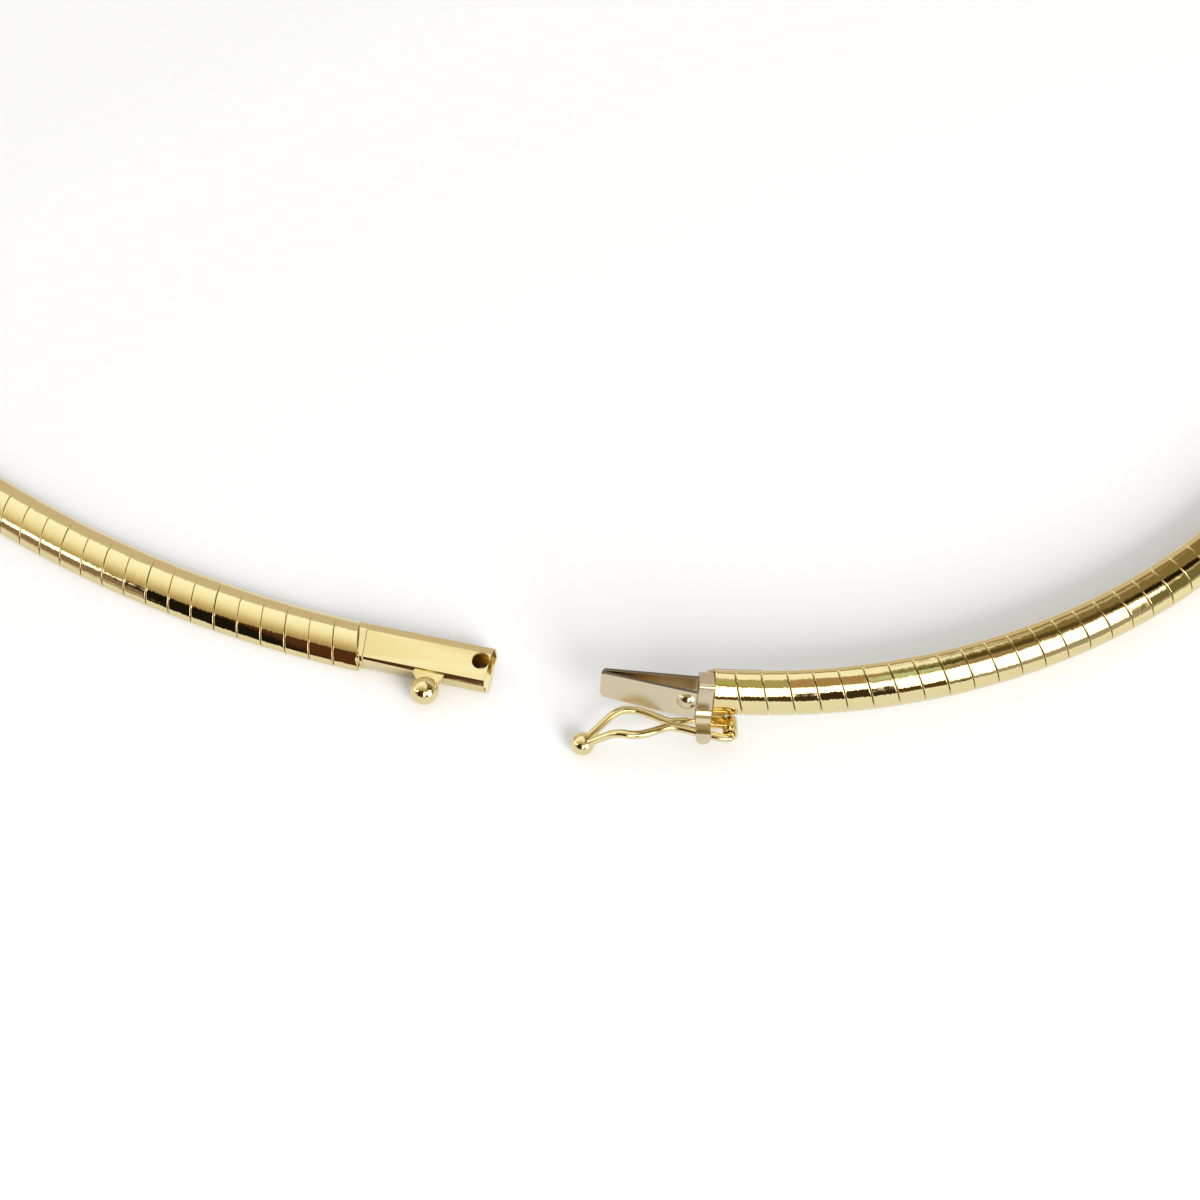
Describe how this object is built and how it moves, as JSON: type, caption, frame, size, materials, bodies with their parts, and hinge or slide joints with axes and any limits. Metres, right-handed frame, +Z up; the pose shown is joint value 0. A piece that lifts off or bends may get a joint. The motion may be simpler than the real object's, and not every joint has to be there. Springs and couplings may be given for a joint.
{
  "type": "omega necklace",
  "caption": "Omega necklace of domed gold plates on a woven strip, open at a box clasp with a white-metal spring tongue and a figure-eight safety catch.",
  "frame": {"origin": "middle of the bounding box on the surface that the necklace lies on", "axes": "+X to the right along the clasp as worn open in front of the viewer, +Y away from the viewer across the loop, +Z up out of the surface"},
  "size_m": [0.1536, 0.1558, 0.0059],
  "materials": {
    "gold": "polished yellow gold",
    "strip_gold": "woven yellow gold, satin",
    "white_metal": "satin white gold"
  },
  "bodies": {
    "necklace": {"chain_plates": "gold", "woven_strip": "strip_gold", "clasp_box": "gold", "spring_tongue": "white_metal", "hinge_tube": "gold"},
    "catch": {"safety_catch": "gold"}
  },
  "joints": [
    {"name": "catch_hinge", "type": "hinge", "parent": "necklace", "child": "catch", "pos_m": [0.01233, -0.07586, 0.00174], "axis": [0.0065, -0.9459, 0.3245], "range_deg": [-2, 110]}
  ]
}
